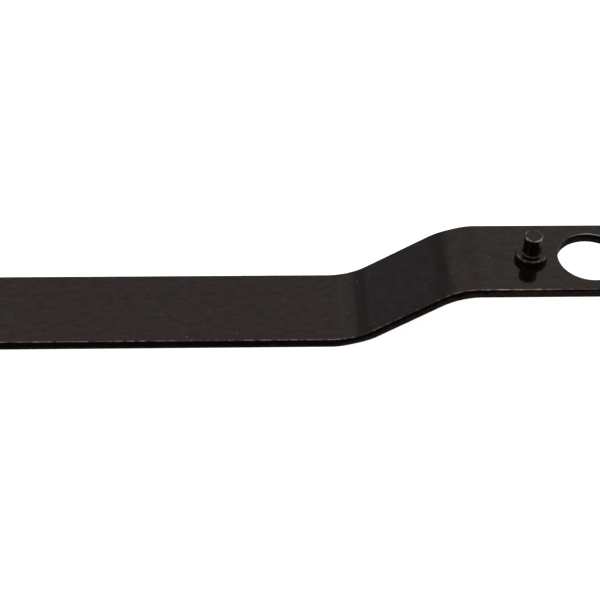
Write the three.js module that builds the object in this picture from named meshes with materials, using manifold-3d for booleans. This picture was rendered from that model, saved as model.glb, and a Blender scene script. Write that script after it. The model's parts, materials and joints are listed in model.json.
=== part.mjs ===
// Two-pin spanner: a flat steel bar, joggled so that the head stands above the handle, with two
// riveted shoulder pins either side of a clearance hole. It opens anything that is turned by two
// blind holes 35 mm apart: flange nuts, retaining rings and screwed case backs.
//
// Frame: millimetres, +Z up and the way the pins point, +X along the bar towards the head, origin
// under the middle of the bar on the surface that the handle lies on.

import * as THREE from "three";
import { mergeVertices } from "three/addons/utils/BufferGeometryUtils.js";
import Module from "manifold-3d";

// ---- Driving dimensions ---------------------------------------------------------------------

const BAR = { length: 222, width: 27, thickness: 3 };
const BEND = { innerRadius: 20.6, angle: THREE.MathUtils.degToRad(34.2), headRise: 19.4 };
const PIN_SPACING = 35;
const HEAD_HOLE_DIAMETER = 19.2;
const LOWER_BEND_TO_HEAD_HOLE = 74.6;
const HANGING_HOLE = { diameter: 8, fromEnd: 12 };

const PIN = { diameter: 5.3, length: 6, chamfer: 0.4 };
const COLLAR = { diameter: 9.4, height: 2.2, chamfer: 0.4 };
const TENON = { diameter: 5, clearance: 0.05 };
const RIVET_HEAD = { diameter: 7.6, height: 1.1 };

const ROUND_SEGMENTS = 64;
const BEND_SEGMENTS = 16;
const DOME_STEPS = 5;
const CUT_MARGIN = 5;
const MERGE_DISTANCE = 1e-4;

// ---- Places worked out from them ------------------------------------------------------------

const endRadius = BAR.width / 2;
const halfLength = BAR.length / 2;
const headHoleX = halfLength - endRadius - PIN_SPACING / 2;
const hangingHoleX = -halfLength + HANGING_HOLE.fromEnd;
const headUnderside = BEND.headRise;
const headTop = BEND.headRise + BAR.thickness;

// ---- Materials ------------------------------------------------------------------------------

const blackenedBar = new THREE.MeshStandardMaterial({
  color: 0x2e2827,
  roughness: 0.3,
  metalness: 0.6,
});
const blackenedPin = new THREE.MeshStandardMaterial({
  color: 0x161414,
  roughness: 0.22,
  metalness: 0.7,
});

// ---- Solids ---------------------------------------------------------------------------------

const wasm = await Module();
wasm.setup();

/** A closed three.js geometry as a manifold-3d solid. */
function toSolid(geometry) {
  const positionOnly = geometry.clone();
  positionOnly.deleteAttribute("normal");
  positionOnly.deleteAttribute("uv");
  const merged = mergeVertices(positionOnly, MERGE_DISTANCE);
  return new wasm.Manifold(
    new wasm.Mesh({
      numProp: 3,
      vertProperties: new Float32Array(merged.attributes.position.array),
      triVerts: new Uint32Array(merged.index.array),
    }),
  );
}

/** A manifold-3d solid as a three.js geometry with flat faces. */
function toGeometry(solid) {
  const mesh = solid.getMesh();
  const geometry = new THREE.BufferGeometry();
  geometry.setAttribute("position", new THREE.BufferAttribute(mesh.vertProperties, 3));
  geometry.setIndex(new THREE.BufferAttribute(mesh.triVerts, 1));
  const faceted = geometry.toNonIndexed();
  faceted.computeVertexNormals();
  return faceted;
}

/**
 * Side view of the joggled bar, x along the bar and y up: straight handle, a bend up, a straight
 * ramp, a bend back, and the head parallel to the handle.
 */
function barSideView() {
  const { innerRadius, angle, headRise } = BEND;
  const outerRadius = innerRadius + BAR.thickness;
  const middleRadius = innerRadius + BAR.thickness / 2;
  const bendsRise = 2 * middleRadius * (1 - Math.cos(angle));
  const rampLength = (headRise - bendsRise) / Math.sin(angle);
  const lowerX = headHoleX - LOWER_BEND_TO_HEAD_HOLE;
  const upperX = lowerX + 2 * middleRadius * Math.sin(angle) + rampLength * Math.cos(angle);
  const lowerCentreZ = BAR.thickness + innerRadius;
  const upperCentreZ = headUnderside - innerRadius;
  const down = -Math.PI / 2;
  const up = Math.PI / 2;

  const view = new THREE.Shape();
  view.moveTo(-halfLength - CUT_MARGIN, 0);
  view.lineTo(lowerX, 0);
  view.absarc(lowerX, lowerCentreZ, outerRadius, down, down + angle, false);
  view.absarc(upperX, upperCentreZ, innerRadius, up + angle, up, true);
  view.lineTo(halfLength + CUT_MARGIN, headUnderside);
  view.lineTo(halfLength + CUT_MARGIN, headTop);
  view.absarc(upperX, upperCentreZ, outerRadius, up, up + angle, false);
  view.absarc(lowerX, lowerCentreZ, innerRadius, down + angle, down, true);
  view.lineTo(-halfLength - CUT_MARGIN, BAR.thickness);
  view.closePath();
  return view;
}

/** A round hole in a plan view. */
function roundHole(x, diameter) {
  const hole = new THREE.Path();
  hole.absarc(x, 0, diameter / 2, 0, 2 * Math.PI, true);
  return hole;
}

/** Plan view of the bar: two fully rounded ends, head hole, two rivet holes and hanging hole. */
function barPlanView() {
  const straightEndX = halfLength - endRadius;
  const quarter = Math.PI / 2;
  const view = new THREE.Shape();
  view.moveTo(-straightEndX, -endRadius);
  view.lineTo(straightEndX, -endRadius);
  view.absarc(straightEndX, 0, endRadius, -quarter, quarter, false);
  view.lineTo(-straightEndX, endRadius);
  view.absarc(-straightEndX, 0, endRadius, quarter, 3 * quarter, false);
  view.holes.push(roundHole(headHoleX, HEAD_HOLE_DIAMETER));
  view.holes.push(roundHole(hangingHoleX, HANGING_HOLE.diameter));
  for (const side of [-1, 1]) {
    view.holes.push(roundHole(headHoleX + (side * PIN_SPACING) / 2, TENON.diameter));
  }
  return view;
}

/** The bar: its side view extruded across its width, trimmed to its plan view. */
function joggledBar() {
  const bent = new THREE.ExtrudeGeometry(barSideView(), {
    depth: BAR.width + 2 * CUT_MARGIN,
    bevelEnabled: false,
    curveSegments: BEND_SEGMENTS,
  });
  bent.translate(0, 0, -BAR.width / 2 - CUT_MARGIN);
  bent.rotateX(Math.PI / 2);

  const trim = new THREE.ExtrudeGeometry(barPlanView(), {
    depth: headTop + 2 * CUT_MARGIN,
    bevelEnabled: false,
    curveSegments: ROUND_SEGMENTS,
  });
  trim.translate(0, 0, -CUT_MARGIN);

  return toGeometry(toSolid(bent).intersect(toSolid(trim)));
}

/** Profile of a peened tail: a low dome, from its crown on the axis out to its rim on the bar. */
function rivetHeadProfile() {
  const profile = [];
  for (let step = 0; step <= DOME_STEPS; step += 1) {
    const turn = ((step / DOME_STEPS) * Math.PI) / 2;
    const radius = (RIVET_HEAD.diameter / 2) * Math.sin(turn);
    profile.push([radius, -BAR.thickness - RIVET_HEAD.height * Math.cos(turn)]);
  }
  return profile;
}

/**
 * A turned shoulder pin on its own axis, z = 0 at the head's top face: the working pin, its collar
 * seated on the bar, the tenon through the bar and the tail peened over under it.
 */
function shoulderPin() {
  const pinRadius = PIN.diameter / 2;
  const collarRadius = COLLAR.diameter / 2;
  const tenonRadius = TENON.diameter / 2 - TENON.clearance;
  const tip = COLLAR.height + PIN.length;
  const profile = [
    ...rivetHeadProfile(),
    [tenonRadius, -BAR.thickness],
    [tenonRadius, 0],
    [collarRadius, 0],
    [collarRadius, COLLAR.height - COLLAR.chamfer],
    [collarRadius - COLLAR.chamfer, COLLAR.height],
    [pinRadius, COLLAR.height],
    [pinRadius, tip - PIN.chamfer],
    [pinRadius - PIN.chamfer, tip],
    [0, tip],
  ];
  const lathe = new THREE.LatheGeometry(
    profile.map(([radius, z]) => new THREE.Vector2(radius, z)),
    ROUND_SEGMENTS,
  );
  lathe.rotateX(Math.PI / 2);
  return lathe;
}

// ---- Assembly -------------------------------------------------------------------------------

const spanner = new THREE.Group();

const bar = new THREE.Mesh(joggledBar(), blackenedBar);
bar.name = "offset_bar";
spanner.add(bar);

for (const [name, side] of [
  ["handle_side_pin", -1],
  ["tip_side_pin", 1],
]) {
  const pin = new THREE.Mesh(shoulderPin(), blackenedPin);
  pin.name = name;
  pin.position.set(headHoleX + (side * PIN_SPACING) / 2, 0, headTop);
  spanner.add(pin);
}

export default spanner;
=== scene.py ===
"""Looks for a two-pin face spanner: a blackened steel bar, joggled, with two riveted shoulder pins.

Everything is in metres and in the frame's own axes: +X along the bar towards the head, +Y across
it, +Z up, the way the pins point. The handle lies on Z = 0.
"""

import json
import math

import bmesh
import bpy
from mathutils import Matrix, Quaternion, Vector, noise


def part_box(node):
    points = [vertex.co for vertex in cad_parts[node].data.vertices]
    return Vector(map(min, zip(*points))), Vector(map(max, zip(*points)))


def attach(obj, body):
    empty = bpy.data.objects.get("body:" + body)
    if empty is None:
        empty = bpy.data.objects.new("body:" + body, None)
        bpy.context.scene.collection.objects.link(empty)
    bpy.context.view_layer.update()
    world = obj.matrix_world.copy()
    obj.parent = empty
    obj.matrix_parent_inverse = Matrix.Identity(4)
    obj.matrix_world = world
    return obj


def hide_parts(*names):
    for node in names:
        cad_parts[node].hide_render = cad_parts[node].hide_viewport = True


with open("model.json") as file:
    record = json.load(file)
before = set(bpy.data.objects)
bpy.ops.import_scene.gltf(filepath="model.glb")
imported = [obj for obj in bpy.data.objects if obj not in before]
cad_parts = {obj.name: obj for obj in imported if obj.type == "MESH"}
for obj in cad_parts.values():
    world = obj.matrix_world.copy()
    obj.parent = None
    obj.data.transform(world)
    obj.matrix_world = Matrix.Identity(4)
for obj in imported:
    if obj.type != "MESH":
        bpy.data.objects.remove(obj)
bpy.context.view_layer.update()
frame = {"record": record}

MM = 0.001

# ---- Sizes and places from the frame --------------------------------------------------------

mounts = {mount["name"]: Vector(mount["pos_m"]) for mount in frame["record"]["mounts"]}
bar_low, bar_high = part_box("offset_bar")
pin_low, pin_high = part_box("handle_side_pin")

THICKNESS = mounts["handle_top_face"].z
HALF_WIDTH = (bar_high.y - bar_low.y) / 2
HEAD_TOP = bar_high.z
HEAD_RISE = HEAD_TOP - THICKNESS
PIN_PLACES = {name: mounts[name + "_tip"].x for name in ("handle_side_pin", "tip_side_pin")}
HEAD_HOLE_X = sum(PIN_PLACES.values()) / len(PIN_PLACES)
COLLAR_HEIGHT = mounts["handle_side_collar_face"].z - HEAD_TOP
COLLAR_RADIUS = (pin_high.y - pin_low.y) / 2
PIN_TIP = pin_high.z - HEAD_TOP
TAIL_DEPTH = HEAD_TOP - THICKNESS - pin_low.z

# ---- Sizes that the frame doesn't state -----------------------------------------------------

BEND_INNER_RADIUS = 20.6 * MM
BEND_ANGLE = math.radians(34.2)
LOWER_BEND_TO_HEAD_HOLE = 74.6 * MM
HEAD_HOLE_RADIUS = 9.6 * MM
TENON_HOLE_RADIUS = 2.5 * MM
HANGING_HOLE_RADIUS = 4 * MM
HANGING_HOLE_FROM_END = 12 * MM

PIN_RADIUS = 2.65 * MM
PIN_CHAMFER = 0.3 * MM
PIN_FILLET = 0.45 * MM
COLLAR_CHAMFER = 0.4 * MM
TAIL_RADIUS = 3.8 * MM

EDGE_RUN = 0.28 * MM
TOP_EDGE_DROP = 0.27 * MM
UNDER_EDGE_DROP = 0.32 * MM
EDGE_SUPPORT = 0.2 * MM
BEND_NECK = 0.25 * MM
RAMP_THINNING = 0.05

# ---- The unrolled bar and how it bends ------------------------------------------------------

BEND_RADIUS = BEND_INNER_RADIUS + THICKNESS / 2
BEND_LENGTH = BEND_RADIUS * BEND_ANGLE
BENDS_RISE = 2 * BEND_RADIUS * (1 - math.cos(BEND_ANGLE))
RAMP_LENGTH = (HEAD_RISE - BENDS_RISE) / math.sin(BEND_ANGLE)
LOWER_BEND = HEAD_HOLE_X - LOWER_BEND_TO_HEAD_HOLE
RAMP = LOWER_BEND + BEND_LENGTH
UPPER_BEND = RAMP + RAMP_LENGTH
HEAD = UPPER_BEND + BEND_LENGTH
HEAD_X = LOWER_BEND + 2 * BEND_RADIUS * math.sin(BEND_ANGLE) + RAMP_LENGTH * math.cos(BEND_ANGLE)
UNROLLED_EXTRA = HEAD - HEAD_X

HANDLE_END = bar_low.x + HALF_WIDTH
HEAD_END = bar_high.x - HALF_WIDTH + UNROLLED_EXTRA
HOLES = [
    (bar_low.x + HANGING_HOLE_FROM_END, HANGING_HOLE_RADIUS),
    (HEAD_HOLE_X + UNROLLED_EXTRA, HEAD_HOLE_RADIUS),
]
HOLES += [(x + UNROLLED_EXTRA, TENON_HOLE_RADIUS) for x in PIN_PLACES.values()]


def middle_line(along):
    """Place and slope of the bar's middle surface at a distance along the unrolled bar."""
    middle = THICKNESS / 2
    if along <= LOWER_BEND:
        return along, middle, 0.0
    if along <= RAMP:
        slope = (along - LOWER_BEND) / BEND_RADIUS
        x = LOWER_BEND + BEND_RADIUS * math.sin(slope)
        return x, middle + BEND_RADIUS * (1 - math.cos(slope)), slope
    if along <= UPPER_BEND:
        x = LOWER_BEND + BEND_RADIUS * math.sin(BEND_ANGLE)
        x += (along - RAMP) * math.cos(BEND_ANGLE)
        z = middle + BENDS_RISE / 2 + (along - RAMP) * math.sin(BEND_ANGLE)
        return x, z, BEND_ANGLE
    if along <= HEAD:
        slope = (HEAD - along) / BEND_RADIUS
        x = HEAD_X - BEND_RADIUS * math.sin(slope)
        return x, HEAD_RISE + middle - BEND_RADIUS * (1 - math.cos(slope)), slope
    return along - UNROLLED_EXTRA, HEAD_RISE + middle, 0.0


def necking(along, lift):
    """How far the stretched outside of a bend is drawn in at each edge of the bar."""
    for start, outside in ((LOWER_BEND, -1), (UPPER_BEND, 1)):
        if start < along < start + BEND_LENGTH:
            stretch = max(0.0, outside * lift / (THICKNESS / 2))
            return BEND_NECK * stretch * math.sin(math.pi * (along - start) / BEND_LENGTH) ** 2
    return 0.0


def thinning(along):
    """Share of the bar's thickness lost where bending stretched it: all along the ramp."""
    nearer = min(along - LOWER_BEND, HEAD - along) / BEND_LENGTH
    share = min(max(nearer, 0.0), 1.0)
    return RAMP_THINNING * share * share * (3 - 2 * share)


def on_bar(along, across, height):
    """Where a point of the unrolled bar, at a height above its underside, is on the bent bar."""
    x, z, slope = middle_line(along)
    height *= 1 - thinning(along)
    lift = height - THICKNESS / 2
    across *= 1 - necking(along, lift) / HALF_WIDTH
    return Vector((x - lift * math.sin(slope), across, z + lift * math.cos(slope)))


# ---- The bar's plan, unrolled, as quads around its holes ------------------------------------

ACROSS_STEPS = 20
ARC_STEPS = 48
RING_STEPS = 5
BEND_STEPS = 26
END_SIDE_STEPS = 4
PIN_BLOCK_STEPS = 8
HOLE_BLOCK_STEPS = 16
FLAT_STEP = 4 * MM
HANGING_HOLE_BLOCK = 9 * MM
PIN_BLOCK_TO_RAMP = 8 * MM
PIN_BLOCK_TO_HOLE = 6.5 * MM
WELD_DISTANCE = 0.001 * MM


def spread(start, end, steps):
    """steps + 1 evenly spread values from start to end."""
    return [start + (end - start) * step / steps for step in range(steps + 1)]


def rows_across():
    """Places across the bar's flat face, with a narrow row along each edge."""
    edge = HALF_WIDTH - EDGE_RUN
    inside = edge - EDGE_SUPPORT
    return [-edge] + spread(-inside, inside, ACROSS_STEPS) + [edge]


def add_strip(plan, stations, rows):
    """Plain quads across the whole bar between stations along it."""
    grid = [[plan.verts.new((x, y, 0)) for y in rows] for x in stations]
    for near, far in zip(grid, grid[1:]):
        for low in range(len(rows) - 1):
            plan.faces.new((near[low], far[low], far[low + 1], near[low + 1]))


def add_holed_block(plan, hole, outline):
    """Rings of quads from a round hole out to a closed outline, point for point."""
    centre, radius = Vector((hole[0], 0, 0)), hole[1] + EDGE_RUN
    spokes = []
    for point in outline:
        offset = point - centre
        inner = centre + offset.normalized() * radius
        reach = offset.length - radius
        shares = spread(EDGE_SUPPORT / reach, 1 - EDGE_SUPPORT / reach, RING_STEPS)
        shares = [0.0] + shares + [1.0]
        spokes.append([plan.verts.new(inner.lerp(point, share)) for share in shares])
    for spoke, following in zip(spokes, spokes[1:] + spokes[:1]):
        for ring in range(len(spoke) - 1):
            corners = (spoke[ring], spoke[ring + 1], following[ring + 1], following[ring])
            plan.faces.new(corners)


def block_outline(start, end, rows, steps):
    """A rectangle between two stations, anticlockwise, one point for each quad around it."""
    low, high = rows[0], rows[-1]
    points = [Vector((x, low, 0)) for x in spread(start, end, steps)[:-1]]
    points += [Vector((end, y, 0)) for y in rows[:-1]]
    points += [Vector((x, high, 0)) for x in spread(end, start, steps)[:-1]]
    points += [Vector((start, y, 0)) for y in rows[:0:-1]]
    return points


def end_outline(join, centre, rows, steps):
    """A round end of the bar, anticlockwise, from the station where it joins the rest."""
    way = 1 if centre > join else -1
    radius = rows[-1]
    points = [Vector((x, -way * radius, 0)) for x in spread(join, centre, steps)[:-1]]
    for turn in spread(-math.pi / 2, math.pi / 2, ARC_STEPS)[:-1]:
        across = way * radius * math.sin(turn)
        points.append(Vector((centre + way * radius * math.cos(turn), across, 0)))
    points += [Vector((x, way * radius, 0)) for x in spread(centre, join, steps)[:-1]]
    joined = rows[:0:-1] if way > 0 else rows[:-1]
    return points + [Vector((join, y, 0)) for y in joined]


def bar_plan():
    """The unrolled bar's flat face, inside its rounded edges."""
    plan = bmesh.new()
    rows = rows_across()
    hanging, head_hole, near_tenon, far_tenon = HOLES
    handle_join = HANDLE_END + HANGING_HOLE_BLOCK
    near_start = near_tenon[0] - PIN_BLOCK_TO_RAMP
    near_end = near_tenon[0] + PIN_BLOCK_TO_HOLE
    far_start = far_tenon[0] - PIN_BLOCK_TO_HOLE

    straight = math.ceil((LOWER_BEND - handle_join) / FLAT_STEP)
    stations = spread(handle_join, LOWER_BEND, straight)[:-1]
    stations += spread(LOWER_BEND, RAMP, BEND_STEPS)[:-1]
    stations += spread(RAMP, UPPER_BEND, math.ceil(RAMP_LENGTH / FLAT_STEP))[:-1]
    stations += spread(UPPER_BEND, HEAD, BEND_STEPS) + [near_start]
    near_block = block_outline(near_start, near_end, rows, PIN_BLOCK_STEPS)
    hole_block = block_outline(near_end, far_start, rows, HOLE_BLOCK_STEPS)

    add_holed_block(plan, hanging, end_outline(handle_join, HANDLE_END, rows, END_SIDE_STEPS))
    add_strip(plan, stations, rows)
    add_holed_block(plan, near_tenon, near_block)
    add_holed_block(plan, head_hole, hole_block)
    add_holed_block(plan, far_tenon, end_outline(far_start, HEAD_END, rows, END_SIDE_STEPS))
    bmesh.ops.remove_doubles(plan, verts=plan.verts, dist=WELD_DISTANCE)
    plan.verts.index_update()
    return plan


def outward(point):
    """Way out of the metal, in plan, from a point on the flat face's rim, and if it's a hole's."""
    for centre, radius in HOLES:
        inward = Vector((centre, 0, 0)) - point
        if inward.length < radius + 2 * EDGE_RUN:
            return inward.normalized(), True
    centre = min(max(point.x, HANDLE_END), HEAD_END)
    return (point - Vector((centre, 0, 0))).normalized(), False


def rims(plan):
    """The closed loops of vertices around the plan and its holes."""
    following = {}
    for edge in plan.edges:
        if edge.is_boundary:
            loop = edge.link_loops[0]
            following[loop.vert] = loop.link_loop_next.vert
    loops = []
    while following:
        first, vert = following.popitem()
        loop = [first]
        while vert is not first:
            loop.append(vert)
            vert = following.pop(vert)
        loops.append(loop)
    return loops


# ---- The bar itself -------------------------------------------------------------------------

EDGE_STEPS = 5
WALL_STEPS = 4
NICK_SIZE = 2.2 * MM
NICK_DEPTH = 0.35
HANDLE_WEAR, RAMP_WEAR, HEAD_WEAR = 0.74, 0.58, 1.0
WEAR_SPREAD = 1.6
UNDER_EDGE_WEAR = 0.5
HOLE_WEAR, HOLE_WEAR_ON_TIP_SIDE = 0.6, 0.95
# The cut side's torn share along the bar is also painted shade and light: low on the handle, which
# lies on the floor, for a darker side, and high on the raised head for a lighter one.
HOLE_TEAR, HANDLE_TEAR_AND_SHADE, RAMP_TEAR_AND_SHADE, HEAD_TEAR_AND_LIGHT = 1.0, 0.54, 0.95, 2.0
FACE_MATERIAL, CUT_MATERIAL = 0, 1


def edge_profile():
    """(way out, height, wear) down the bar's cut edge, from the upper rim to the lower rim."""
    profile = []
    for turn in spread(0, math.pi / 2, EDGE_STEPS):
        drop = TOP_EDGE_DROP * (1 - math.cos(turn))
        worn = min(1.0, WEAR_SPREAD * math.sin(2 * turn))
        profile.append((EDGE_RUN * math.sin(turn), THICKNESS - drop, worn))
    wall = spread(THICKNESS - TOP_EDGE_DROP, UNDER_EDGE_DROP, WALL_STEPS)
    profile += [(EDGE_RUN, height, 0.0) for height in wall[1:-1]]
    for turn in spread(math.pi / 2, 0, EDGE_STEPS):
        height = UNDER_EDGE_DROP * (1 - math.sin(turn)) if turn else 0.0
        worn = UNDER_EDGE_WEAR * math.sin(2 * turn)
        profile.append((EDGE_RUN * math.sin(turn), height, worn))
    return profile


def exposure(along):
    """How much an upper edge gets rubbed: most early on the head, least on the ramp and tip."""
    up = min(max((along - LOWER_BEND) / BEND_LENGTH, 0.0), 1.0)
    level = HANDLE_WEAR + (RAMP_WEAR - HANDLE_WEAR) * up
    crest = (UPPER_BEND + HEAD) / 2 + BEND_LENGTH
    nearness = math.exp(-(((along - crest) / BEND_LENGTH) ** 2))
    return level + (HEAD_WEAR - level) * nearness


def hole_exposure(away):
    """How much a hole's upper rim gets rubbed: least on the side nearest to the handle."""
    return HOLE_WEAR_ON_TIP_SIDE + (HOLE_WEAR - HOLE_WEAR_ON_TIP_SIDE) * max(0.0, away.x)


def tearing_and_painted_shade(along):
    """How much of the cut side is torn instead of burnished: more on the ramp, most on the head. It
    is also painted shade and light: the handle's side, down on the floor, is kept darker and the
    raised head's side lighter.
    """
    up = min(max((along - LOWER_BEND) / BEND_LENGTH, 0.0), 1.0)
    beyond = min(max((along - HEAD) / BEND_LENGTH, 0.0), 1.0)
    return HANDLE_TEAR_AND_SHADE + (RAMP_TEAR_AND_SHADE - HANDLE_TEAR_AND_SHADE) * up + (HEAD_TEAR_AND_LIGHT - RAMP_TEAR_AND_SHADE) * beyond


def build_bar():
    """The joggled bar, with worn upper edges, cut sides and rolled-over lower edges."""
    plan = bar_plan()
    steel = bmesh.new()
    wear = steel.verts.layers.float.new("wear")
    depth = steel.verts.layers.float.new("depth")

    def add_face(corners, material):
        face = steel.faces.new(corners)
        face.material_index = material
        face.smooth = True

    upper = [steel.verts.new(on_bar(v.co.x, v.co.y, THICKNESS)) for v in plan.verts]
    lower = [steel.verts.new(on_bar(v.co.x, v.co.y, 0)) for v in plan.verts]
    for face in plan.faces:
        corners = [vert.index for vert in face.verts]
        add_face([upper[i] for i in corners], FACE_MATERIAL)
        add_face([lower[i] for i in reversed(corners)], FACE_MATERIAL)

    profile = edge_profile()
    for loop in rims(plan):
        columns = []
        for vert in loop:
            away, in_hole = outward(vert.co)
            nick = 1 + NICK_DEPTH * noise.noise(vert.co / NICK_SIZE)
            column = [upper[vert.index]]
            for out, height, worn in profile[1:-1]:
                if height > THICKNESS / 2:
                    height = THICKNESS - (THICKNESS - height) * nick
                place = vert.co + away * out
                made = steel.verts.new(on_bar(place.x, place.y, height))
                made[wear] = worn * (hole_exposure(away) if in_hole else exposure(place.x))
                # The torn share also paints shade: a darker cut side on the handle, a lighter one
                # on the raised head.
                tear_and_shade = HOLE_TEAR if in_hole else tearing_and_painted_shade(place.x)
                made[depth] = (1 - height / THICKNESS) * tear_and_shade
                column.append(made)
            columns.append(column + [lower[vert.index]])
        for column, beside in zip(columns, columns[1:] + columns[:1]):
            for row in range(len(column) - 1):
                on_wall = EDGE_STEPS <= row < len(column) - 1 - EDGE_STEPS
                corners = (column[row], column[row + 1], beside[row + 1], beside[row])
                add_face(corners, CUT_MATERIAL if on_wall else FACE_MATERIAL)
    plan.free()
    return finish_piece(steel, "joggled_bar")


def finish_piece(shape, name):
    """Turns a bmesh into an object with its faces pointing out."""
    bmesh.ops.recalc_face_normals(shape, faces=shape.faces)
    mesh = bpy.data.meshes.new(name)
    shape.to_mesh(mesh)
    shape.free()
    piece = bpy.data.objects.new(name, mesh)
    bpy.context.scene.collection.objects.link(piece)
    return piece


# ---- The shoulder pins ----------------------------------------------------------------------

TURN_STEPS = 96
CORNER = 0.07 * MM
FOOT_CORNER = 0.2 * MM
CORNER_STEPS = 3
FILLET_STEPS = 5
DOME_STEPS = 8
TIP_RINGS = (0.3, 0.6, 0.85)
TIP_WEAR, TIP_CHAMFER_WEAR, TIP_SIDE_WEAR = 0.66, 0.6, 0.35
RIM_WEAR, COLLAR_SIDE_WEAR, TAIL_WEAR = 0.5, 0.3, 0.3
TAIL_FULLNESS = 0.6
TAIL_NECK = 0.02 * MM


def rounded(before, corner, after, wear, radius=CORNER, steps=CORNER_STEPS):
    """Profile points that round a corner between two neighbours, tangent to both sides."""
    into, away = (corner - before).normalized(), (after - corner).normalized()
    reach = radius * math.tan(into.angle(away) / 2)
    start, end = corner - into * reach, corner + away * reach
    points = []
    for share in spread(0, 1, steps):
        near, far = start.lerp(corner, share), corner.lerp(end, share)
        points.append((near.lerp(far, share), wear))
    return points


def pin_profile():
    """(radius and height, wear) from the tip's middle to the bar: pin, fillet and collar."""
    tip = Vector((PIN_RADIUS - PIN_CHAMFER, PIN_TIP))
    side = Vector((PIN_RADIUS, PIN_TIP - PIN_CHAMFER))
    root = Vector((PIN_RADIUS, COLLAR_HEIGHT))
    rim = Vector((COLLAR_RADIUS - COLLAR_CHAMFER, COLLAR_HEIGHT))
    shoulder = Vector((COLLAR_RADIUS, COLLAR_HEIGHT - COLLAR_CHAMFER))
    foot = Vector((COLLAR_RADIUS, 0))
    inside = Vector((TENON_HOLE_RADIUS, 0))

    profile = [(Vector((tip.x * share, PIN_TIP)), 0.0) for share in TIP_RINGS]
    profile += rounded(profile[-1][0], tip, side, TIP_WEAR)
    profile.append((tip.lerp(side, 0.5), TIP_CHAMFER_WEAR))
    profile += rounded(tip, side, root, TIP_SIDE_WEAR)
    profile.append((side.lerp(root, 0.4), 0.0))
    profile += rounded(side, root, rim, 0.0, PIN_FILLET, FILLET_STEPS)
    profile.append((root.lerp(rim, 0.6), 0.0))
    profile += rounded(root, rim, shoulder, RIM_WEAR)
    profile += rounded(rim, shoulder, foot, COLLAR_SIDE_WEAR)
    profile += rounded(shoulder, foot, inside, 0.0, FOOT_CORNER)
    profile.append((inside, 0.0))
    return profile


def tail_profile():
    """(radius and height, wear) from the bar's underside down over the peened tail."""
    under = -THICKNESS
    profile = [(Vector((TENON_HOLE_RADIUS - TAIL_NECK, under)), 0.0)]
    for turn in spread(0, math.pi / 2, DOME_STEPS)[:-1]:
        radius = TAIL_RADIUS * math.cos(turn) ** TAIL_FULLNESS
        profile.append((Vector((radius, under - TAIL_DEPTH * math.sin(turn))), TAIL_WEAR))
    return profile


HAMMER_SIZE = 2.4 * MM
HAMMER_DEPTH = 0.16


def hammered(point, seed):
    """Moves a point of the peened tail as uneven hammer blows would, kept inside its outline."""
    depth = -THICKNESS - point.z
    if depth <= 0:
        return point
    blow = 0.5 + 0.5 * noise.noise(point / HAMMER_SIZE + seed)
    flatter = 1 - HAMMER_DEPTH * blow
    return Vector((point.x * flatter, point.y * flatter, -THICKNESS - depth * flatter))


def build_pin(node):
    """One turned shoulder pin: working pin, collar, tenon through the bar and peened tail."""
    seed = Vector((PIN_PLACES[node] / MM, 0, 0))
    profile = pin_profile() + tail_profile()
    turned = bmesh.new()
    wear = turned.verts.layers.float.new("wear")

    def ring(radius, height, worn):
        made = []
        for step in range(TURN_STEPS):
            turn = 2 * math.pi * step / TURN_STEPS
            point = Vector((radius * math.cos(turn), radius * math.sin(turn), height))
            vert = turned.verts.new(hammered(point, seed))
            vert[wear] = worn
            made.append(vert)
        return made

    rings = [ring(place.x, place.y, worn) for place, worn in profile]
    for above, below in zip(rings, rings[1:]):
        for step in range(TURN_STEPS):
            nearby = (step + 1) % TURN_STEPS
            corners = (above[step], below[step], below[nearby], above[nearby])
            turned.faces.new(corners).smooth = True
    for end, height in ((rings[0], PIN_TIP), (rings[-1], -THICKNESS - TAIL_DEPTH)):
        middle = turned.verts.new(hammered(Vector((0, 0, height)), seed))
        for step in range(TURN_STEPS):
            turned.faces.new((end[step], end[(step + 1) % TURN_STEPS], middle)).smooth = True

    place = Vector((PIN_PLACES[node], 0, HEAD_TOP))
    bmesh.ops.translate(turned, verts=turned.verts, vec=place)
    return finish_piece(turned, "turned_" + node)


# ---- Materials ------------------------------------------------------------------------------


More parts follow.
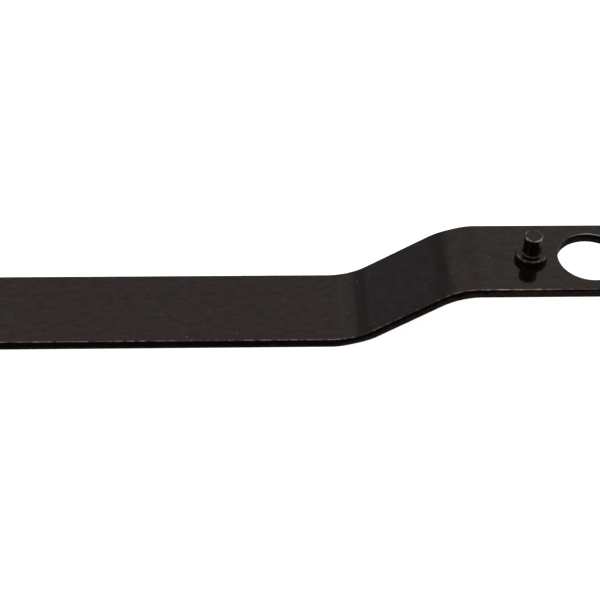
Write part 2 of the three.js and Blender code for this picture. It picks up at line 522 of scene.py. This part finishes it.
class Nodes:
    """A short way to write a material's nodes, one call for each node."""

    def __init__(self, name):
        self.material = bpy.data.materials.new(name)
        self.material.use_nodes = True
        self.tree = self.material.node_tree
        self.shader = self.tree.nodes["Principled BSDF"]
        self.place = self.add("ShaderNodeTexCoord").outputs["Object"]

    def feed(self, socket, value):
        """Links a socket to another node's output, or sets it to a number or a colour."""
        if isinstance(value, bpy.types.NodeSocket):
            self.tree.links.new(value, socket)
        elif isinstance(value, tuple):
            socket.default_value = (*value, 1.0)
        else:
            socket.default_value = value

    def add(self, kind, **inputs):
        node = self.tree.nodes.new(kind)
        for name, value in inputs.items():
            self.feed(node.inputs[name], value)
        return node

    def shade(self, name, value):
        self.feed(self.shader.inputs[name], value)

    def noise(self, size, detail=3.0, stretch=(1, 1, 1)):
        """Soft random patches, about size across, stretched along each axis."""
        mapping = self.add("ShaderNodeMapping", Vector=self.place)
        mapping.inputs["Scale"].default_value = [1 / (size * s) for s in stretch]
        vector = mapping.outputs["Vector"]
        return self.add("ShaderNodeTexNoise", Vector=vector, Scale=1.0, Detail=detail).outputs[0]

    def ramp(self, value, low, high, start=0.0, end=1.0):
        """Takes value from low..high to start..end, and holds it there outside."""
        node = self.add("ShaderNodeMapRange", Value=value)
        for socket, number in zip(node.inputs[1:5], (low, high, start, end)):
            socket.default_value = number
        return node.outputs["Result"]

    def math(self, operation, first, second):
        node = self.tree.nodes.new("ShaderNodeMath")
        node.operation = operation
        for socket, value in zip(node.inputs, (first, second)):
            self.feed(socket, value)
        return node.outputs[0]

    def mix(self, share, first, second):
        """A colour between two colours."""
        node = self.tree.nodes.new("ShaderNodeMix")
        node.data_type = "RGBA"
        sockets = (node.inputs[0], node.inputs[6], node.inputs[7])
        for socket, value in zip(sockets, (share, first, second)):
            self.feed(socket, value)
        return node.outputs[2]

    def attribute(self, name):
        node = self.tree.nodes.new("ShaderNodeAttribute")
        node.attribute_name = name
        return node.outputs["Fac"]

    def bump(self, height, depth, before=None):
        """Surface relief of a depth in metres where height goes from 0 to 1."""
        node = self.add("ShaderNodeBump", Height=height, Distance=depth)
        if before is not None:
            self.feed(node.inputs["Normal"], before)
        return node.outputs["Normal"]


BLACK_WARM = (0.0036, 0.0012, 0.0010)
BLACK_COOL = (0.0003, 0.0027, 0.0028)
PIN_BLACK = (0.0006, 0.0006, 0.0005)
PIN_BROWN = (0.0017, 0.0015, 0.0012)
OXIDE_TINT = (1.0, 0.785, 0.765)
CUT_TINT = (1.0, 0.74, 0.68)
BARE_STEEL = (0.36, 0.31, 0.29)
BURNISHED = (0.0008, 0.0005, 0.0004)
# TORN is also the lighter brown that paints the raised head's cut side lighter than the handle's,
# which is painted shade.
TORN = (0.026, 0.0152, 0.0128)
DUST = (0.075, 0.065, 0.06)

FACE_ROUGHNESS = (0.08, 0.12)
MARK_ROUGHNESS = 0.3
SHEARED_ROUGHNESS = (0.24, 0.55)
PIN_ROUGHNESS = (0.1, 0.36)
SHEARED_GLOSS = 0.05
THIN_OXIDE, THIN_PIN_OXIDE, BARE_METAL = 0.28, 0.3, 0.9
PEEL_DEPTH, WAVE_DEPTH = 0.0008 * MM, 0.008 * MM
TORN_DEPTH, LATHE_DEPTH = 0.03 * MM, 0.0015 * MM


def dust_specks(nodes):
    """Rare pale specks, a few tenths of a millimetre across: up to 1 on a speck, 0 elsewhere."""
    cell = 3.6 * MM
    speck = 0.04
    rarity = 0.78
    soft_edge = 1.8
    spots = nodes.add("ShaderNodeTexVoronoi", Vector=nodes.place, Scale=1 / cell)
    spots.voronoi_dimensions = "2D"
    near = nodes.ramp(spots.outputs["Distance"], speck, speck * soft_edge, 1.0, 0.0)
    pick = nodes.add("ShaderNodeSeparateColor", Color=spots.outputs["Color"])
    chosen = nodes.ramp(pick.outputs["Red"], rarity, 1.0)
    return nodes.math("MULTIPLY", near, chosen)


def edge_wear(nodes, start, end, detail):
    """Bare steel along edges, broken up by noise: 1 where the black is worn off."""
    broken = nodes.noise(1.8 * MM, detail)
    worn = nodes.math("MULTIPLY", nodes.attribute("wear"), broken)
    return nodes.ramp(worn, start, end)


def blackened_face():
    """Black oxide on the bar's rolled faces: smooth and dark, with warm blotches and dust."""
    nodes = Nodes("blackened_face")
    blotch = nodes.ramp(nodes.noise(2.6 * MM, 5.0, (1.4, 1, 1)), 0.4, 0.6)
    grain = nodes.ramp(nodes.noise(0.5 * MM, 2.0), 0.3, 0.7)
    tint = nodes.ramp(nodes.math("ADD", blotch, grain), 0.3, 1.7)
    black = nodes.mix(tint, BLACK_COOL, BLACK_WARM)
    worn = edge_wear(nodes, 0.3, 0.62, 4.0)
    dust = dust_specks(nodes)
    black = nodes.mix(worn, black, BARE_STEEL)
    nodes.shade("Base Color", nodes.mix(dust, black, DUST))
    smooth = nodes.ramp(nodes.noise(4 * MM, 5.0), 0.3, 0.7, *FACE_ROUGHNESS)
    marked = nodes.math("MAXIMUM", worn, dust)
    rougher = nodes.math("MULTIPLY", marked, MARK_ROUGHNESS)
    nodes.shade("Roughness", nodes.math("ADD", smooth, rougher))
    thin = nodes.ramp(nodes.noise(1.6 * MM, 5.0, (2, 1, 1)), 0.35, 0.65)
    fine = nodes.ramp(nodes.noise(0.35 * MM, 2.0), 0.3, 0.7)
    patchy = nodes.ramp(nodes.math("ADD", thin, fine), 0.4, 1.6, 0.0, THIN_OXIDE)
    bare = nodes.math("MULTIPLY", worn, BARE_METAL)
    nodes.shade("Metallic", nodes.math("MAXIMUM", bare, patchy))
    nodes.shade("Specular Tint", OXIDE_TINT)
    peel = nodes.bump(nodes.noise(0.9 * MM, 3.0), PEEL_DEPTH)
    wave = nodes.bump(nodes.noise(14 * MM, 1.0), WAVE_DEPTH, peel)
    nodes.shade("Normal", wave)
    return nodes.material


def blackened_cut():
    """The bar's cut sides: burnished below the upper edge, then torn, rough and browner. The torn,
    lighter brown is also painted light and shade: less of it on the handle, down on the floor, most
    on the raised head.
    """
    nodes = Nodes("blackened_cut")
    uneven = nodes.ramp(nodes.noise(1.6 * MM, 4.0), 0.2, 0.8, -0.25, 0.25)
    # The torn mask is partly painted shade: it is kept low on the handle and high on the raised
    # head.
    torn = nodes.ramp(nodes.math("ADD", nodes.attribute("depth"), uneven), 0.38, 0.6)
    streaks = nodes.noise(0.35 * MM, 3.0, (1, 1, 6))
    ragged_and_painted_shade = nodes.math("MULTIPLY", torn, nodes.ramp(streaks, 0.2, 0.7, 0.4, 1.0))
    nodes.shade("Base Color", nodes.mix(ragged_and_painted_shade, BURNISHED, TORN))
    nodes.shade("Roughness", nodes.ramp(torn, 0.0, 1.0, *SHEARED_ROUGHNESS))
    nodes.shade("Specular IOR Level", SHEARED_GLOSS)
    nodes.shade("Specular Tint", CUT_TINT)
    nodes.shade("Normal", nodes.bump(ragged_and_painted_shade, TORN_DEPTH))
    return nodes.material


def blackened_pin():
    """Black oxide on turned steel: fine rings from the lathe, bare on its worn corners."""
    nodes = Nodes("blackened_pin")
    blotch = nodes.ramp(nodes.noise(1.5 * MM, 4.0), 0.35, 0.65)
    black = nodes.mix(blotch, PIN_BLACK, PIN_BROWN)
    worn = edge_wear(nodes, 0.2, 0.55, 1.0)
    nodes.shade("Base Color", nodes.mix(worn, black, BARE_STEEL))
    nodes.shade("Roughness", nodes.ramp(worn, 0.0, 1.0, *PIN_ROUGHNESS))
    thin = nodes.ramp(nodes.noise(0.6 * MM, 3.0), 0.3, 0.7, 0.0, THIN_PIN_OXIDE)
    bare = nodes.math("MULTIPLY", worn, BARE_METAL)
    nodes.shade("Metallic", nodes.math("MAXIMUM", bare, thin))
    nodes.shade("Specular Tint", OXIDE_TINT)
    rings = nodes.noise(0.12 * MM, 2.0, (60, 60, 1))
    nodes.shade("Normal", nodes.bump(rings, LATHE_DEPTH))
    return nodes.material


# ---- Floor, light and camera ----------------------------------------------------------------

FLOOR_RADIUS = 4.0
FLOOR_SIDES = 64
FLOOR_GAP = 0.1 * MM
FLOOR_GLOW = 0.9
FLOOR_SHADE = 0.55
FLOOR_SEEN_BY_STEEL = 0.35

# The room's brightness at each height above the horizon, in degrees.
ROOM_LOW, ROOM_HIGH = 0.39, 0.62
ROOM_STOPS = (
    (21.5, ROOM_LOW),
    (25, 0.33),
    (30, 0.32),
    (34, 0.35),
    (37, 0.48),
    (42, 0.49),
    (47, ROOM_HIGH),
)

# What it gains in a band to each side. The band's limits run from 0, ahead, to 1, sideways.
GLOW = (0.08, 0.125, 0.055)
GLOW_STARTS, GLOW_FULL, GLOW_FADES, GLOW_ENDS = 0.085, 0.15, 0.3, 0.38


def make_floor():
    """A pale floor that runs on into the pale room. The dark steel mirrors only part of it."""
    bpy.ops.mesh.primitive_circle_add(vertices=FLOOR_SIDES, radius=FLOOR_RADIUS, fill_type="NGON")
    floor = bpy.context.object
    floor.name = "floor"
    floor.location.z = bar_low.z - FLOOR_GAP
    material = bpy.data.materials.new("pale_floor")
    material.use_nodes = True
    tree = material.node_tree
    tree.nodes.clear()
    output = tree.nodes.new("ShaderNodeOutputMaterial")
    which = tree.nodes.new("ShaderNodeMixShader")
    path = tree.nodes.new("ShaderNodeLightPath")
    dim = tree.nodes.new("ShaderNodeEmission")
    dim.inputs["Strength"].default_value = FLOOR_SEEN_BY_STEEL
    glow = tree.nodes.new("ShaderNodeEmission")
    glow.inputs["Strength"].default_value = FLOOR_GLOW
    shade = tree.nodes.new("ShaderNodeBsdfDiffuse")
    shade.inputs["Color"].default_value = (FLOOR_SHADE, FLOOR_SHADE, FLOOR_SHADE, 1)
    both = tree.nodes.new("ShaderNodeAddShader")
    tree.links.new(glow.outputs[0], both.inputs[0])
    tree.links.new(shade.outputs[0], both.inputs[1])
    tree.links.new(path.outputs["Is Camera Ray"], which.inputs[0])
    tree.links.new(dim.outputs[0], which.inputs[1])
    tree.links.new(both.outputs[0], which.inputs[2])
    tree.links.new(which.outputs[0], output.inputs["Surface"])
    floor.data.materials.append(material)


def make_room():
    """The pale room beyond the floor, lighter overhead and aside, as the dark steel mirrors it."""
    world = bpy.data.worlds.new("pale_room")
    bpy.context.scene.world = world
    world.use_nodes = True
    tree = world.node_tree

    def add(kind, operation=None, values=()):
        node = tree.nodes.new(kind)
        if operation:
            node.operation = operation
        for socket, value in zip(node.inputs, values):
            tree.links.new(value, socket)
        return node

    place = add("ShaderNodeTexCoord").outputs["Generated"]
    way = add("ShaderNodeSeparateXYZ", None, [place]).outputs
    lit = add("ShaderNodeValToRGB", None, [way["Z"]])
    stops = lit.color_ramp.elements
    stops[0].color = (ROOM_LOW, ROOM_LOW, ROOM_LOW, 1)
    stops[1].color = (ROOM_HIGH, ROOM_HIGH, ROOM_HIGH, 1)
    for elevation, brightness in ROOM_STOPS:
        stop = stops.new(math.sin(math.radians(elevation)))
        stop.color = (brightness, brightness, brightness, 1)

    aside = add("ShaderNodeMath", "ABSOLUTE", [way["X"]]).outputs[0]
    glow = add("ShaderNodeValToRGB", None, [aside])
    bands = glow.color_ramp.elements
    bands[1].color = (0, 0, 0, 1)
    for share in (GLOW_STARTS, GLOW_ENDS):
        bands.new(share).color = (0, 0, 0, 1)
    for share in (GLOW_FULL, GLOW_FADES):
        bands.new(share).color = (*GLOW, 1)

    both = add("ShaderNodeVectorMath", "ADD", [lit.outputs["Color"], glow.outputs["Color"]])
    from_camera = add("ShaderNodeLightPath").outputs["Is Camera Ray"]
    seen = add("ShaderNodeVectorMath", "MAXIMUM", [both.outputs[0], from_camera])
    tree.links.new(seen.outputs[0], tree.nodes["Background"].inputs["Color"])


def softbox(name, azimuth, elevation, distance, size, brightness, colour=(1, 1, 1)):
    """An even rectangular light that faces the tool, placed by its direction from there."""
    data = bpy.data.lights.new(name, "AREA")
    data.shape = "RECTANGLE"
    data.color = colour
    data.size, data.size_y = size
    data.energy = brightness * math.pi * size[0] * size[1]
    light = bpy.data.objects.new(name, data)
    bpy.context.scene.collection.objects.link(light)
    turn, rise = math.radians(azimuth), math.radians(elevation)
    way = Vector((math.sin(turn) * math.cos(rise), math.cos(turn) * math.cos(rise), math.sin(rise)))
    light.location = way * distance
    light.rotation_mode = "QUATERNION"
    light.rotation_quaternion = way.to_track_quat("Z", "Y")
    light.visible_camera = False


# Fitted to the photo's edges. The lens is in millimetres, on a sensor 36 mm wide.
CAMERA_AIM = Vector((-2.71, 4.84, 1.03)) * MM
CAMERA_DISTANCE = 536.6 * MM
CAMERA_YAW = math.radians(-4.62)
CAMERA_ELEVATION = math.radians(44.28)
CAMERA_ROLL = math.radians(2.82)
CAMERA_LENS = 109.34


def make_camera():
    """A long lens from the front and above, at the photo's viewing angle."""
    data = bpy.data.cameras.new("camera")
    data.lens = CAMERA_LENS
    camera = bpy.data.objects.new("camera", data)
    bpy.context.scene.collection.objects.link(camera)
    level = math.cos(CAMERA_ELEVATION)
    back = Vector((
        math.sin(CAMERA_YAW) * level,
        -math.cos(CAMERA_YAW) * level,
        math.sin(CAMERA_ELEVATION),
    ))
    camera.location = CAMERA_AIM + back * CAMERA_DISTANCE
    camera.rotation_mode = "QUATERNION"
    facing = (-back).to_track_quat("-Z", "Y")
    camera.rotation_quaternion = facing @ Quaternion((0, 0, 1), CAMERA_ROLL)
    data.clip_start = 0.01
    data.clip_end = 20.0
    bpy.context.scene.camera = camera


# ---- Putting it together --------------------------------------------------------------------

bar = build_bar()
bar.data.materials.append(blackened_face())
bar.data.materials.append(blackened_cut())
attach(bar, "root")
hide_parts("offset_bar")

pin_black = blackened_pin()
for node in PIN_PLACES:
    pin = build_pin(node)
    pin.data.materials.append(pin_black)
    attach(pin, "root")
    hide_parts(node)

make_floor()
make_room()

# Azimuth and elevation in degrees, distance and size in metres, brightness, colour.
softbox("back_box", 2.5, 48, 1.6, (1.53, 1.4), 0.125, (1.0, 0.64, 0.58))
softbox("top_box", 0, 88, 1.4, (1.2, 0.5), 2.0)
softbox("left_box", -95, 23, 1.5, (1.9, 0.8), 1.1)
softbox("left_front_box", -130, 39, 1.5, (0.4, 0.3), 2.2)
softbox("right_box", 92, 26, 1.5, (0.8, 0.7), 1.3)
softbox("right_front_box", 125, 38, 1.5, (0.5, 0.4), 0.5)
make_camera()

bpy.context.scene.view_settings.view_transform = "Standard"
